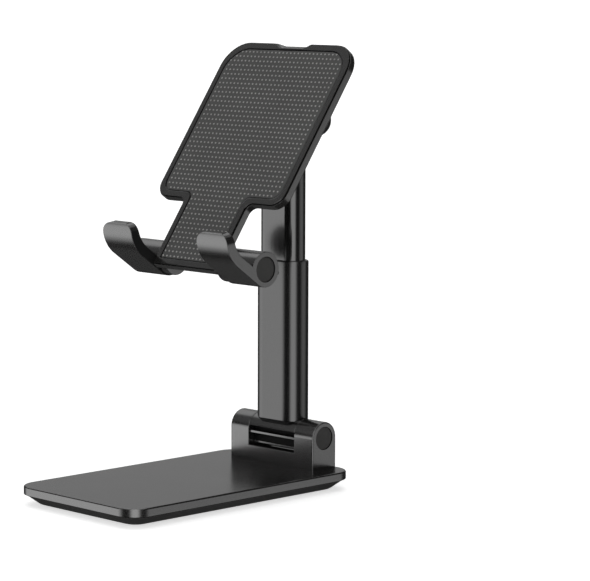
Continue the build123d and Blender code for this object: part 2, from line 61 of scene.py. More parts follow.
# ---- camera ----
AZIMUTH, ELEVATION, ROLL = radians(45.49), radians(6.88), radians(0.18)
DISTANCE, AIM_RIGHT, AIM_UP, LENS = 1.0685, 0.04348, 0.08447, 161.9
right = Vector((cos(AZIMUTH), sin(AZIMUTH), 0))
back = Vector((sin(AZIMUTH) * cos(ELEVATION), -cos(AZIMUTH) * cos(ELEVATION), sin(ELEVATION)))
camera = bpy.data.objects.new("camera", bpy.data.cameras.new("camera"))
camera.data.lens = LENS
camera.data.sensor_width = 36
camera.data.clip_start = 0.05
turn = Matrix((right, back.cross(right), back)).transposed() @ Matrix.Rotation(ROLL, 3, "Z")
stand_at = right * AIM_RIGHT + Vector((0, 0, AIM_UP)) + back * DISTANCE
camera.matrix_world = Matrix.Translation(stand_at) @ turn.to_4x4()
bpy.context.scene.collection.objects.link(camera)
bpy.context.scene.camera = camera
bpy.context.scene.view_settings.view_transform = "Standard"

# ---- sizes in millimetres; pieces are scaled to metres when they are finished ----
BASE_W, BASE_L, BASE_R, BASE_TOP, BAND_H = 72.0, 121.2, 9.0, 8.0, 3.5
SKIRT_INSET, TRAY_BOTTOM, PAD_TOP = 5.4, 0.5, 1.1
TRAY_TOP = BASE_TOP - BAND_H
CAVITY_TOP = BASE_TOP - 1.8
HINGE_Y, HINGE_Z = joint_at["base_fold"][1:]
EAR_R, EAR_X, BARREL_R, BARREL_X, SEAM = 6.8, 24.6, 6.75, 13.5, 0.2
RELIEF_R, WALL_TOP, SHAFT_R, CAP_R, CAP_INSET = 7.1, 13.8, 2.5, 4.85, 0.45
POCKET_IN, POCKET_TOP, POCKET_LOW = 3.1, 1.8, -5.65
TUBE_W, TUBE_D, TUBE_R, TUBE_WALL, TUBE_LOW, TUBE_HIGH = 24.7, 13.0, 6.48, 0.9, 5.6, 72.7
INNER_W, INNER_D, INNER_R, INNER_LOW, HEAD_LOW = 21.8, 10.5, 5.23, 57.0, 7.8
SPIGOT_GAP = 2.1
TOP_Z = joint_at["plate_tilt"][2]
TILT = radians(35.1)
PLATE_W, PLATE_TOP, PLATE_LOW, TONGUE_W, TONGUE_LOW = 74.9, 101.1, 24.3, 37.3, -7.0
FRONT_N, FLANGE_N, RIM_N, SEAM_N, BACK_N, PAD_N, PAD_INSET = 8.05, 7.93, 7.4, 5.8, 4.2, 7.2, 2.85
FRONT_DRAFT, FRONT_EDGE, BACK_EDGE, PAD_DROP = 0.37, 0.1, 0.6, 0.4
ROUND_TOP, ROUND_LOW, ROUND_IN = 12.0, 6.5, 3.5
SCOOP_W, SCOOP_FLOOR, SCOOP_DEEP, SCOOP_BACK, SCOOP_END = 22.0, 13.0, 3.1, 0.1, 5.5
HINGE_U, HINGE_N, TILT_R, TILT_X = 72.5, -4.95, 6.9, 25.0
HOOK_R, HOOK_X0, HOOK_X1, HOOK_CAP_R, LIP_R, LIP_LEAN, PIN_R = 7.1, 19.4, 37.2, 5.15, 4.4, 49.0, 1.8
KNUCKLE_X0, KNUCKLE_X1, KNUCKLE_R = 15.3, 19.2, 6.6
SLOT_Z = HINGE_Z + TUBE_HIGH - 5
SLOT_LONG, SLOT_TALL, LATCH_TALL, LATCH_RISE = 8.5, 1.7, 0.95, 0.35


SHARP = 0.02


class Place:
    """A local frame in the row frame. at(a, b, c) gives a point, all in millimetres."""

    def __init__(self, origin, a, b, c):
        self.origin, self.axes = Vector(origin), (Vector(a), Vector(b), Vector(c))

    def at(self, a, b, c):
        return self.origin + self.axes[0] * a + self.axes[1] * b + self.axes[2] * c


LEVEL = Place((0, 0, 0), (1, 0, 0), (0, 1, 0), (0, 0, 1))
MAST = Place((0, HINGE_Y, HINGE_Z), (1, 0, 0), (0, 1, 0), (0, 0, 1))
# seen from the right: first towards the front, then up, then along the axis
BASE_SIDE = Place((0, HINGE_Y, HINGE_Z), (0, -1, 0), (0, 0, 1), (1, 0, 0))
TOP_SIDE = Place((0, HINGE_Y, TOP_Z), (0, -1, 0), (0, 0, 1), (1, 0, 0))
PLATE_OUT = Vector((0, -cos(TILT), sin(TILT)))
PLATE_UP = Vector((0, sin(TILT), cos(TILT)))
HOOK_AXIS = Vector((0, *joint_at["right_hook_fold"][1:]))
PLATE = Place(HOOK_AXIS, (1, 0, 0), PLATE_UP, PLATE_OUT)
HOOK_SIDE = Place(HOOK_AXIS, PLATE_OUT, PLATE_UP, (1, 0, 0))


# ---- shape tools ----
def outline(corners, inset=0.0, steps=8):
    """Points round a closed counter-clockwise shape of (x, y, radius) corners, moved in by inset."""
    count = len(corners)
    points = [Vector(c[:2]) for c in corners]
    heading = [(points[(i + 1) % count] - points[i]).normalized() for i in range(count)]
    out = []
    for i in range(count):
        before, after = heading[i - 1], heading[i]
        angle = atan2(before.x * after.y - before.y * after.x, before.dot(after))
        radius = max(corners[i][2] - inset if angle > 0 else corners[i][2] + inset, SHARP)
        a, b = Vector((-before.y, before.x)), Vector((-after.y, after.x))
        moved = points[i] + (a + b) * (inset / (1 + a.dot(b)))
        start = moved - before * (radius * abs(tan(angle / 2)))
        centre = start + (a if angle > 0 else -a) * radius
        spoke = start - centre
        for k in range(steps + 1):
            t = angle * k / steps
            turned = Vector((spoke.x * cos(t) - spoke.y * sin(t), spoke.x * sin(t) + spoke.y * cos(t)))
            out.append(centre + turned)
    return out


def moved(points, inset):
    """Any closed counter-clockwise line moved inwards by a small inset."""
    out = []
    for i, p in enumerate(points):
        a, b = (p - points[i - 1]).normalized(), (points[(i + 1) % len(points)] - p).normalized()
        na, nb = Vector((-a.y, a.x)), Vector((-b.y, b.x))
        out.append(p + (na + nb) * (inset / max(1 + na.dot(nb), 0.3)))
    return out


def arc(centre, radius, start, end, steps):
    """Points on an arc, angles in degrees, both ends included."""
    angles = [radians(start + (end - start) * k / steps) for k in range(steps + 1)]
    return [Vector((centre[0] + radius * cos(a), centre[1] + radius * sin(a))) for a in angles]


def circle(radius, steps, centre=(0, 0)):
    """Points round a full circle, the first not repeated."""
    return arc(centre, radius, 0, 360 - 360 / steps, steps - 1)


def box_corners(width, depth, radius, centre=(0, 0)):
    """The corners of a rounded rectangle, for outline."""
    x, y, w, d = *centre, width / 2, depth / 2
    return [(x + w, y - d, radius), (x + w, y + d, radius), (x - w, y + d, radius), (x - w, y - d, radius)]


def rounding(low, high, low_round, high_round, steps=4, hold=0.5):
    """(height, inset) pairs from end to end, with quarter-round edges and a holding ring on each flat end."""
    levels = [(low, low_round + hold)]
    for size, end, way in ((low_round, low, 1), (high_round, high, -1)):
        for k in range(steps + 1) if way > 0 else range(steps, -1, -1):
            t = pi / 2 * k / steps
            levels.append((end + way * size * (1 - cos(t)), size * (1 - sin(t))))
    return levels + [(high, high_round + hold)]


def skin(bm, rings, start=True, end=True):
    """Faces between rings of the same length, with the first and last ring closed."""
    made = [[bm.verts.new(p) for p in ring] for ring in rings]
    count = len(made[0])
    for low, high in zip(made, made[1:]):
        for i in range(count):
            j = (i + 1) % count
            bm.faces.new((low[i], low[j], high[j], high[i]))
    if start:
        bm.faces.new(reversed(made[0]))
    if end:
        bm.faces.new(made[-1])
    return made


def stack(corners, levels, place=LEVEL, steps=8):
    """A closed form from one outline at (height, inset) levels. corners may be a function of these two."""
    bm = bmesh.new()
    rings = []
    for height, inset in levels:
        given = callable(corners)
        line = outline(corners(height, inset) if given else corners, 0 if given else inset, steps)
        rings.append([place.at(p.x, p.y, height) for p in line])
    skin(bm, rings)
    return bm


def slab(points, levels, place):
    """A closed form from one free outline at (height, inset) levels."""
    bm = bmesh.new()
    skin(bm, [[place.at(p.x, p.y, height) for p in moved(points, inset)] for height, inset in levels])
    return bm


def rod(radius, low, high, place, centre=(0, 0), steps=64):
    """A plain round bar."""
    return slab(circle(radius, steps, centre), [(low, 0), (high, 0)], place)


def lathe(profile, place, centre, steps=64):
    """A closed form turned about an axis, from (distance along it, radius) pairs."""
    bm = bmesh.new()
    rings = []
    for along_axis, r in profile:
        turns = [2 * pi * k / steps for k in range(steps)]
        rings.append([place.at(centre[0] + r * cos(t), centre[1] + r * sin(t), along_axis) for t in turns])
    skin(bm, rings)
    return bm


def as_object(bm, name="work"):
    """A passing object in the scene, for the joins and cuts."""
    bmesh.ops.recalc_face_normals(bm, faces=bm.faces)
    mesh = bpy.data.meshes.new(name)
    bm.to_mesh(mesh)
    bm.free()
    obj = bpy.data.objects.new(name, mesh)
    bpy.context.scene.collection.objects.link(obj)
    return obj


def combine(first, steps):
    """Joins and cuts closed forms, as (operation, form) pairs, and returns the result."""
    whole = as_object(first)
    for operation, form in steps:
        tool = as_object(form)
        change = whole.modifiers.new("join", "BOOLEAN")
        change.operation, change.object, change.solver = operation, tool, "EXACT"
        result = bpy.data.meshes.new_from_object(whole.evaluated_get(bpy.context.evaluated_depsgraph_get()))
        whole.modifiers.clear()
        whole.data = result
        bpy.data.objects.remove(tool)
    bm = bmesh.new()
    bm.from_mesh(whole.data)
    bpy.data.objects.remove(whole)
    return bm


def piece(name, bm, look, body, stands_for, sharp=30):
    """Finishes a form as a shown piece: metres, smooth shading with creases, its finish and its body."""
    bmesh.ops.remove_doubles(bm, verts=bm.verts, dist=0.002)
    bmesh.ops.dissolve_degenerate(bm, edges=bm.edges, dist=0.001)
    bmesh.ops.recalc_face_normals(bm, faces=bm.faces)
    bm.transform(Matrix.Scale(0.001, 4))
    mesh = bpy.data.meshes.new(name)
    bm.to_mesh(mesh)
    bm.free()
    mesh.polygons.foreach_set("use_smooth", [True] * len(mesh.polygons))
    mesh.set_sharp_from_angle(angle=radians(sharp))
    mesh.materials.append(look)
    obj = bpy.data.objects.new(name, mesh)
    bpy.context.scene.collection.objects.link(obj)
    even = obj.modifiers.new("even_shading", "WEIGHTED_NORMAL")
    even.keep_sharp = True
    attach(obj, body)
    if stands_for:
        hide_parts(*stands_for)
    return obj


# ---- materials ----
TONE_DRIFT, GLOSS_SPREAD, GRAIN_DEPTH = 0.06, 0.02, 0.00005


def surface(name, color, rough, ior=1.5, metal=0.0, grain=0.1, grain_size=0.35, stretch=None):
    """Moulded, painted or machined surface: a drifting tone, and a fine grain in its bump and gloss."""
    m = bpy.data.materials.new(name)
    m.use_nodes = True
    tree = m.node_tree
    shader = tree.nodes["Principled BSDF"]
    shader.inputs["Metallic"].default_value = metal
    shader.inputs["IOR"].default_value = ior

    def node(kind, settings=None, **values):
        """A new node with its sockets set from settings and its own properties from the rest."""
        n = tree.nodes.new(kind)
        for key, value in (settings or {}).items():
            n.inputs[key].default_value = value
        for key, value in values.items():
            setattr(n, key, value)
        return n

    def link(a, b):
        tree.links.new(a, b)

    place = node("ShaderNodeTexCoord").outputs["Object"]
    fine_place = place
    if stretch:
        mapping = node("ShaderNodeMapping", {"Scale": stretch})
        link(place, mapping.inputs["Vector"])
        fine_place = mapping.outputs["Vector"]
    wide = node("ShaderNodeTexNoise", {"Scale": 45.0, "Detail": 4.0, "Roughness": 0.55})
    fine = node("ShaderNodeTexNoise", {"Scale": 1000.0 / grain_size, "Detail": 2.0, "Roughness": 0.6})
    link(place, wide.inputs["Vector"])
    link(fine_place, fine.inputs["Vector"])
    tone = node("ShaderNodeValToRGB")
    shares = (1 - TONE_DRIFT, 1 + TONE_DRIFT)
    for stop, position, share in zip(tone.color_ramp.elements, (0.32, 0.68), shares):
        stop.position = position
        stop.color = (*[min(1.0, c * share) for c in color], 1)
    link(wide.outputs["Fac"], tone.inputs["Fac"])
    link(tone.outputs["Color"], shader.inputs["Base Color"])
    both = node("ShaderNodeMath", operation="ADD")
    link(wide.outputs["Fac"], both.inputs[0])
    link(fine.outputs["Fac"], both.inputs[1])
    gloss = node("ShaderNodeMapRange", {"From Min": 0.6, "From Max": 1.4, "To Min": rough - GLOSS_SPREAD,
                                        "To Max": rough + GLOSS_SPREAD})
    link(both.outputs[0], gloss.inputs["Value"])
    link(gloss.outputs["Result"], shader.inputs["Roughness"])
    bump = node("ShaderNodeBump", {"Strength": grain, "Distance": GRAIN_DEPTH})
    link(fine.outputs["Fac"], bump.inputs["Height"])
    link(bump.outputs["Normal"], shader.inputs["Normal"])
    return m


LOOK = {
    "satin_black_shell": surface("satin_black_shell", (0.0065, 0.0063, 0.006), 0.22, ior=2.2, grain=0.04),
    "satin_black_tube": surface("satin_black_tube", (0.005, 0.005, 0.005), 0.2, ior=1.85, grain=0.05,
                                grain_size=0.5, stretch=(1, 1, 0.05)),
    "dark_tray": surface("dark_tray", (0.014, 0.014, 0.0135), 0.38, ior=1.6, grain=0.2),
    "dark_silicone": surface("dark_silicone", (0.057, 0.057, 0.056), 0.55, grain=0.3, grain_size=0.25),
    "dark_cap": surface("dark_cap", (0.029, 0.0285, 0.0275), 0.6, ior=1.45, grain=0.25, grain_size=0.3),
    "guide_plastic": surface("guide_plastic", (0.02, 0.02, 0.02), 0.35, ior=1.6, grain=0.1),
    "black_screw": surface("black_screw", (0.06, 0.06, 0.06), 0.32, metal=1.0, grain=0.12),
    "steel": surface("steel", (0.55, 0.55, 0.54), 0.26, metal=1.0, grain=0.12, stretch=(0.08, 1, 1)),
}
POLISHED = surface("satin_black_slider", (0.005, 0.005, 0.005), 0.14, ior=1.9, grain=0.04, grain_size=0.5,
                   stretch=(1, 1, 0.05))
# a darker, less reflective finish for recesses and inner faces: painted shade
PAINTED_SHADE = surface("painted_shade_dull", (0.006, 0.006, 0.006), 0.7, ior=1.3, grain=0.2)
DOTS = surface("silicone_dots", (0.29, 0.29, 0.28), 0.45)
SLOT_OF = {s["node"]: s["material_slot"] for s in frame["record"]["subparts"]}
for name, obj in nodes.items():
    obj.data.materials.clear()
    obj.data.materials.append(LOOK[SLOT_OF[name]])
SHELL, TUBE = LOOK["satin_black_shell"], LOOK["satin_black_tube"]

# ---- base ----
SHELL_WALL, TOP_ROUND = 2.5, 0.7
base = stack(box_corners(BASE_W, BASE_L, BASE_R),
             [(CAVITY_TOP, SHELL_WALL + 0.4), (CAVITY_TOP, SHELL_WALL), (TRAY_TOP, SHELL_WALL), (TRAY_TOP, 0.7),
              (TRAY_TOP, 0.2), (TRAY_TOP + 0.06, 0.06), (TRAY_TOP + 0.2, 0.0), (TRAY_TOP + 0.5, 0.0)]
             + rounding(TRAY_TOP, BASE_TOP, 0, TOP_ROUND, 6, 0.6)[-8:])
EAR_ROOT = BASE_TOP - 1 - HINGE_Z
ear_line = [(-EAR_R, EAR_ROOT, SHARP), (EAR_R, EAR_ROOT, SHARP), (EAR_R, EAR_R, EAR_R), (-EAR_R, EAR_R, EAR_R)]
gap = BARREL_X + SEAM
ears = [stack(ear_line, rounding(a, b, ra, rb, 5), BASE_SIDE, 20)
        for a, b, ra, rb in ((gap, EAR_X, 0.2, 0.55), (-EAR_X, -gap, 0.55, 0.2))]
# the low wall between the ears, hollowed for the barrel
dip = 90 - degrees(acos((HINGE_Z - WALL_TOP) / RELIEF_R))
WALL_ROUND, CAP_POCKET = 0.25, 3.8
wall_line = ([Vector((-EAR_R, EAR_ROOT)), Vector((EAR_R, EAR_ROOT))]
             + arc((EAR_R - WALL_ROUND, WALL_TOP - HINGE_Z - WALL_ROUND), WALL_ROUND, 0, 90, 3)
             + arc((0, 0), RELIEF_R, -dip, -180 + dip, 8)
             + arc((-EAR_R + WALL_ROUND, WALL_TOP - HINGE_Z - WALL_ROUND), WALL_ROUND, 90, 180, 3))
wall = slab(wall_line, [(-gap - 1.5, 0), (gap + 1.5, 0)], BASE_SIDE)
cuts = [("DIFFERENCE", rod(CAP_R, a, b, BASE_SIDE))
        for a, b in ((EAR_X - CAP_POCKET, EAR_X + 1), (-EAR_X - 1, -EAR_X + CAP_POCKET))]
cuts.append(("DIFFERENCE", rod(SHAFT_R, -EAR_X - 1, EAR_X + 1, BASE_SIDE, steps=32)))
base = combine(base, [("UNION", ears[0]), ("UNION", ears[1]), ("UNION", wall)] + cuts)
piece("base_shell", base, SHELL, "base", ["base_cover"])

SKIRT_TOP_INSET, SKIRT_STEPS = 0.6, 8
shares = [k / SKIRT_STEPS for k in range(1, SKIRT_STEPS)]
tall, taper = TRAY_TOP - TRAY_BOTTOM, SKIRT_TOP_INSET - SKIRT_INSET
skirt = [(TRAY_BOTTOM + tall * t, SKIRT_INSET + taper * t) for t in shares]
tray = stack(lambda h, i: box_corners(BASE_W - 2 * i, BASE_L - 2 * i, BASE_R - i / 2),
             [(PAD_TOP, 7.4), (PAD_TOP, 7.0), (TRAY_BOTTOM, 7.0), (TRAY_BOTTOM, SKIRT_INSET + 0.35),
              (TRAY_BOTTOM + 0.12, SKIRT_INSET + 0.02)] + skirt
             + [(TRAY_TOP - 0.25, 0.62), (TRAY_TOP - 0.08, 0.75), (TRAY_TOP - 0.02, 1.1), (TRAY_TOP - 0.02, 2.8)],
             LEVEL, 10)
piece("base_skirt", tray, LOOK["dark_tray"], "base", ["base_tray"])

# the grip under the base, with a groove round its middle
GRIP_INSET, GRIP_R = 7.2, 4.8
grip_w, grip_l = BASE_W - 2 * GRIP_INSET, BASE_L - 2 * GRIP_INSET
grip = stack(lambda h, i: box_corners(grip_w - 2 * i, grip_l - 2 * i, max(GRIP_R - i, 1.0)),
             [(PAD_TOP, 1.0), (PAD_TOP, 0.1), (PAD_TOP - 0.1, 0.0), (0.3, 0.0), (0.1, 0.08), (0, 0.3), (0, 2.6),
              (0.05, 2.75), (0.4, 2.85), (0.4, 3.5), (0.05, 3.6), (0, 3.75), (0, 5.0)], LEVEL, 8)
piece("base_grip", grip, LOOK["dark_silicone"], "base", ["base_pad"])

# ---- lower mast ----
# seen from the side, the barrel is round but for an open pocket in its front, with a lip and a middle rib
LIP_DEEP, LIP_TALL, RIB_OUT, RIB_LOW, RIB_TOP = 0.65, 0.6, 6.0, -1.3, -0.5
start = degrees(atan2(POCKET_TOP, sqrt(BARREL_R**2 - POCKET_TOP**2)))
last = 360 - degrees(acos(POCKET_IN / BARREL_R))
barrel_line = arc((0, 0), BARREL_R, start, last, 60) + [Vector(p) for p in (
    (POCKET_IN, POCKET_LOW), (POCKET_IN + LIP_DEEP, POCKET_LOW), (POCKET_IN + LIP_DEEP, POCKET_LOW + LIP_TALL),
    (POCKET_IN, POCKET_LOW + LIP_TALL), (POCKET_IN, RIB_LOW), (RIB_OUT, RIB_LOW), (RIB_OUT, RIB_TOP),
    (POCKET_IN, RIB_TOP), (POCKET_IN, POCKET_TOP))]
barrel = slab(barrel_line, rounding(-BARREL_X, BARREL_X, 0.2, 0.2, 3, 0.01), BASE_SIDE)
spigot = stack(box_corners(TUBE_W - SPIGOT_GAP, TUBE_D - SPIGOT_GAP, TUBE_R - TUBE_WALL - 0.2),
               [(3, 0), (10.4, 0), (10.6, 0.2)], MAST, 10)
bore = rod(SHAFT_R + 0.05, -BARREL_X - 1, BARREL_X + 1, BASE_SIDE, steps=32)
foot_joint = combine(barrel, [("UNION", spigot), ("DIFFERENCE", bore)])
foot = piece("mast_foot", foot_joint, SHELL, "lower_mast", ["lower_joint"])
# the open pocket and the step under the tube get a darker, less reflective finish: painted shade in these recesses
foot.data.materials.append(PAINTED_SHADE)
for face in foot.data.polygons:
    c = face.center * 1000 - MAST.origin
    reach = c.y**2 + c.z**2
    in_pocket = -c.y > POCKET_IN - 0.3 and c.z < POCKET_TOP + 0.1 and abs(c.x) < BARREL_X - 0.1
    front_edge = -c.y > RIB_OUT - 0.05 or abs(c.y + POCKET_IN + LIP_DEEP) < 0.05
    on_rim = reach > (BARREL_R - 0.1)**2
    on_step = reach > BARREL_R**2 + 0.3 and abs(c.x) < BARREL_X - 1
    if (in_pocket and not front_edge and not on_rim) or on_step:
        face.material_index = 1


def slot_cutter(height, start, end):
    """A rounded slot across the mast at a height in the row frame, from start to end towards the front."""
    side = Place((0, HINGE_Y, height), (1, 0, 0), (0, 0, 1), (0, -1, 0))
    return stack(box_corners(SLOT_LONG, SLOT_TALL, SLOT_TALL / 2 - 0.01), [(start, 0), (end, 0)], side, 10)


# the tube's section, with points along its flat sides too, so that its coped end can follow the barrel
tube_line = outline(box_corners(TUBE_W, TUBE_D, TUBE_R), 0, 12)
dense = []
for a, b in zip(tube_line, tube_line[1:] + tube_line[:1]):
    dense.append(a)
    if (b - a).length > 2:
        dense += [a + (b - a) * (k / 12) for k in range(1, 12)]


def coped(inset, extra=0.0):
    """The tube's lower end: level, but lifted where it sits on the barrel."""
    lift = BARREL_R + 0.05
    heights = [(p, max(TUBE_LOW, sqrt(max(lift**2 - p.y**2, 0))) + extra) for p in moved(dense, inset)]
    return [MAST.at(p.x, p.y, height) for p, height in heights]


def ring_at(height, inset):
    """The tube's section at a height above the hinge."""
    return [MAST.at(p.x, p.y, height) for p in moved(dense, inset)]


bm = bmesh.new()
rings = [coped(0.35), coped(0.1, 0.08), coped(0, 0.35)]
mouth_levels = [(TUBE_HIGH - 0.5, 0), (TUBE_HIGH - 0.16, 0.1), (TUBE_HIGH - 0.03, 0.3), (TUBE_HIGH, 0.5),
                (TUBE_HIGH, TUBE_WALL - 0.1), (TUBE_HIGH - 0.1, TUBE_WALL)]
rings += [ring_at(h, i) for h, i in [(10, 0)] + mouth_levels + [(10, TUBE_WALL)]]
rings += [coped(TUBE_WALL, 0.1), coped(TUBE_WALL - 0.1)]
made = [[bm.verts.new(p) for p in ring] for ring in rings]
for low, high in zip(made, made[1:] + made[:1]):
    for i in range(len(dense)):
        j = (i + 1) % len(dense)
        bm.faces.new((low[i], low[j], high[j], high[i]))
outer = combine(bm, [("DIFFERENCE", slot_cutter(SLOT_Z, -20, 20))])
piece("mast_sleeve", outer, TUBE, "lower_mast", ["outer_tube"])

# ---- upper mast ----
inner_top = TOP_Z - HEAD_LOW - HINGE_Z
inner = stack(box_corners(INNER_W, INNER_D, INNER_R),
              [(INNER_LOW + 4, 1.0), (INNER_LOW, 1.0), (INNER_LOW, 0.15), (INNER_LOW + 0.15, 0),
               (inner_top - 0.15, 0), (inner_top, 0.15), (inner_top, 1.0), (inner_top - 2, 1.0)], MAST, 12)
piece("mast_slider", inner, POLISHED, "upper_mast", ["inner_tube"])


# ---- plate ----
def tee(height, inset, scoop=True):
    """The T shape at a height out of its plane, with the finger scoop sloping through its top edge."""
    half, tongue = PLATE_W / 2 - inset, TONGUE_W / 2 - inset
    low, top, foot_u = PLATE_LOW + inset, PLATE_TOP - inset - (0 if scoop else PAD_DROP), TONGUE_LOW + inset
    slid = min((FRONT_N - height) / (FRONT_N - SCOOP_END), 1) * (SCOOP_DEEP - SCOOP_BACK)
    deep = max(SCOOP_DEEP - slid - inset, 0.03) if scoop else 0.03
    lean = (SCOOP_W - SCOOP_FLOOR) / 2 / SCOOP_DEEP
    edge = SCOOP_FLOOR / 2 + lean * deep
    round_top, round_low = ROUND_TOP - inset / 2, ROUND_LOW - inset / 2
    soft = 1.6 if deep > 0.5 else SHARP
    right_side = [(tongue, foot_u, 0.5), (tongue, low, ROUND_IN), (half, low, round_low), (half, top, round_top),
                  (edge, top, soft), (SCOOP_FLOOR / 2, top - deep, soft)]
    return right_side + [(-x, y, radius) for x, y, radius in reversed(right_side)]


def quarter(size, angles):
    """(drop, inset) pairs down a quarter-round edge, at angles in degrees."""
    return [(size * (1 - sin(radians(a))), size * (1 - cos(radians(a)))) for a in angles]


def tee_stack(levels):
    """levels are (height, inset, whether the scoop cuts it)."""
    bm = bmesh.new()
    skin(bm, [[PLATE.at(p.x, p.y, h) for p in outline(tee(h, i, cut), 0, 10)] for h, i, cut in levels])
    return bm


front = [(SEAM_N, 1.6, True), (SEAM_N, 1.2, True), (FLANGE_N - 0.02, 1.2, True), (FLANGE_N, FRONT_DRAFT, True)]
front += [(FRONT_N - drop, FRONT_DRAFT + inset, True) for drop, inset in quarter(FRONT_EDGE, (0, 45, 90))]
front += [(FRONT_N, 0.75, True), (FRONT_N, 1.05, True), (FRONT_N, PAD_INSET - 0.45, False),
          (FRONT_N, PAD_INSET - 0.12, False), (FRONT_N - 0.03, PAD_INSET - 0.03, False),
          (FRONT_N - 0.12, PAD_INSET, False), (PAD_N, PAD_INSET, False), (PAD_N, PAD_INSET + 0.7, False)]
piece("plate_face", tee_stack(front), SHELL, "plate", ["plate_frame"])

pad_edge, pad_top = PAD_INSET + 0.45, FRONT_N - 0.08
mat = tee_stack([(PAD_N, pad_edge + 0.5, False), (PAD_N, pad_edge, False), (pad_top - 0.22, pad_edge, False),
                 (pad_top - 0.07, pad_edge + 0.07, False), (pad_top, pad_edge + 0.25, False),
                 (pad_top, pad_edge + 0.7, False)])
piece("plate_mat", mat, LOOK["dark_silicone"], "plate", ["plate_pad"])

# ---- the mat's dots ----
DOT_PITCH, DOT_ROW, DOT_R, DOT_HIGH, DOT_MARGIN = 2.22, 2.25, 0.42, 0.26, 0.75
DOT_SIDES, DOT_COLUMNS = 8, 17
DOT_PROFILE = ((DOT_R, 0.0), (DOT_R * 0.86, DOT_HIGH * 0.55), (DOT_R * 0.5, DOT_HIGH * 0.9))
dots_in = pad_edge + DOT_MARGIN
dots_top, dots_half, dots_low = PLATE_TOP - dots_in, PLATE_W / 2 - dots_in, PLATE_LOW + dots_in


def has_dot(x, u):
    """Whether a dot lies on the mat: on the tongue, or on the T's head and inside its round corners."""
    if u < TONGUE_LOW + dots_in - 0.2:
        return False
    if u < dots_low:
        return abs(x) <= TONGUE_W / 2 - dots_in + 0.4
    if abs(x) > dots_half + 0.2:
        return False
    upper = u > (dots_low + PLATE_TOP) / 2
    corner = (ROUND_TOP if upper else ROUND_LOW) - pad_edge / 2 - DOT_MARGIN
    over_x = abs(x) - (dots_half + 0.2 - corner)
    over_u = u - (dots_top + 0.2 - corner) if upper else dots_low - 0.2 + corner - u
    in_corner = abs(x) > TONGUE_W / 2 and over_x > 0 and over_u > 0
    return not (in_corner and over_x**2 + over_u**2 > corner**2)


def add_dot(bm, x, u, foot):
    """A small crowned dot that stands on the mat at height foot."""
    turns = [2 * pi * k / DOT_SIDES for k in range(DOT_SIDES)]
    crown = [[bm.verts.new(PLATE.at(x + r * cos(t), u + r * sin(t), foot + h)) for t in turns]
             for r, h in DOT_PROFILE]
    top = bm.verts.new(PLATE.at(x, u, foot + DOT_HIGH))
    for low_ring, high_ring in zip(crown, crown[1:]):
        for k in range(DOT_SIDES):
            j = (k + 1) % DOT_SIDES
            bm.faces.new((low_ring[k], low_ring[j], high_ring[j], high_ring[k]))
    for k in range(DOT_SIDES):
        bm.faces.new((crown[-1][k], crown[-1][(k + 1) % DOT_SIDES], top))
    bm.faces.new(reversed(crown[0]))


bm = bmesh.new()
for row in range(int((PLATE_TOP - TONGUE_LOW) / DOT_ROW)):
    u = dots_top - PAD_DROP - 0.5 - row * DOT_ROW
    for column in range(-DOT_COLUMNS, DOT_COLUMNS):
        x = (column + 0.5) * DOT_PITCH
        if has_dot(x, u):
            add_dot(bm, x, u, pad_top - 0.02)
piece("plate_mat_dots", bm, DOTS, "plate", [], sharp=80)

# ---- back of the plate, with the hinge housing and the hooks' knuckles ----
rear = [(SEAM_N, 1.5, True), (SEAM_N, 1.0, True), (RIM_N, 1.0, True), (RIM_N, 0.12, True),
        (RIM_N - 0.05, 0.03, True), (RIM_N - 0.14, 0.0, True), (SCOOP_END, 0.0, True), (BACK_N + 0.75, 0.0, True)]
rear += [(BACK_N + drop, inset, True) for drop, inset in quarter(BACK_EDGE, (0, 22, 45, 68, 90))]
rear += [(BACK_N, 1.0, True), (BACK_N, 1.6, True)]
HOUSE_W, HOUSE_H, HOUSE_TOP_W, HOUSE_TOP_H, HOUSE_N = 65.0, 30.0, 56.5, 21.5, HINGE_N + 0.6
FLARE, CROWN = 1.2, 1.8


def house(height, inset):
    """The housing's rounded outline, which tapers from the plate's back to its own."""
    share = (BACK_N - height) / (BACK_N - HOUSE_N)
    wide = HOUSE_W + (HOUSE_TOP_W - HOUSE_W) * share - 2 * inset
    tall = HOUSE_H + (HOUSE_TOP_H - HOUSE_H) * share - 2 * inset
    return box_corners(wide, tall, tall / 2 - 0.02, (0, HINGE_U))


house_levels = [(BACK_N + 0.5, -FLARE), (BACK_N - 0.02, -FLARE)]
house_levels += [(BACK_N - across, -down) for down, across in quarter(FLARE, (22, 45, 68, 90))]
house_levels += [(HOUSE_N + drop, inset) for drop, inset in quarter(CROWN, (0, 18, 36, 54, 72, 90))]
house_levels += [(HOUSE_N, CROWN + 0.8)]
SPHERE_X, HINGE_CENTRE = TILT_X - TILT_R, (HINGE_N, HINGE_U)


def dome(radius, angles):
    """(distance along the tilt axis, radius) of the round end, at angles in degrees."""
    return [(SPHERE_X + radius * sin(radians(a)), radius * cos(radians(a))) for a in angles]


